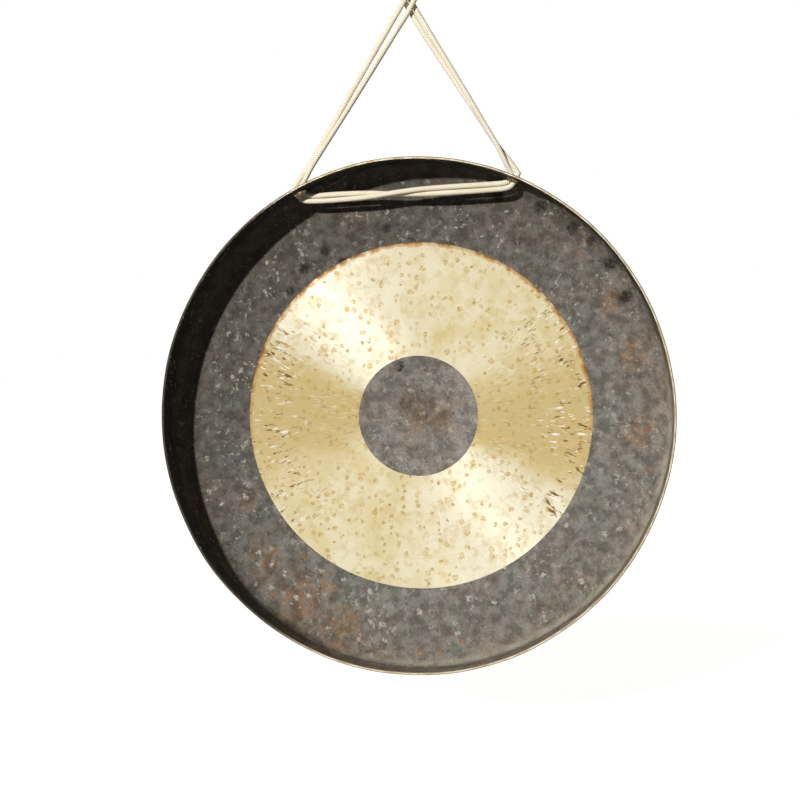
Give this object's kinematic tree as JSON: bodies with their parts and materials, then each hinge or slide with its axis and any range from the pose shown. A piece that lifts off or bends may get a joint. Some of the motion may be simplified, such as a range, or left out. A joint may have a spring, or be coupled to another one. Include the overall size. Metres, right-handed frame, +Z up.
{
  "type": "gong",
  "caption": "Flat hammered bronze gong with a deep turned-back rim, a dark centre and outer band, a bright turned ring, and a doubled cord through two rim holes.",
  "frame": {"origin": "inside top of the hanging loop, where a hook or peg carries the gong", "axes": "+Z up; +Y out of the struck face, so the hollow back faces -Y; +X to the right of someone who looks at the hollow back"},
  "size_m": [0.5997, 0.1055, 0.8855],
  "materials": {
    "bronze": "hammered high-tin bronze, black fire oxide on the centre disc and outer band, bright lathe-turned ring between them",
    "cord": "undyed braided cotton, slightly fuzzy"
  },
  "bodies": {
    "loop": {"hang_loop": "cord"},
    "knot": {"top_knot": "cord", "tail_a": "cord", "tail_b": "cord"},
    "sling": {"left_leg_a": "cord", "left_leg_b": "cord", "right_leg_a": "cord", "right_leg_b": "cord"},
    "gong": {"gong": "bronze", "inside_cord_a": "cord", "inside_cord_b": "cord"}
  },
  "joints": [
    {"name": "turn", "type": "hinge", "parent": "loop", "child": "knot", "pos_m": [0, 0, -0.069], "axis": [0, 0, 1], "range_deg": [-90, 90], "stiffness_Nm_per_rad": 0.04},
    {"name": "swing", "type": "hinge", "parent": "knot", "child": "sling", "pos_m": [0, 0, -0.069], "axis": [1, 0, 0], "range_deg": [-30, 30]},
    {"name": "pitch", "type": "hinge", "parent": "sling", "child": "gong", "pos_m": [-0.00869, 0, -0.3055], "axis": [0.9995, 0, 0.0314], "range_deg": [-45, 45]}
  ]
}
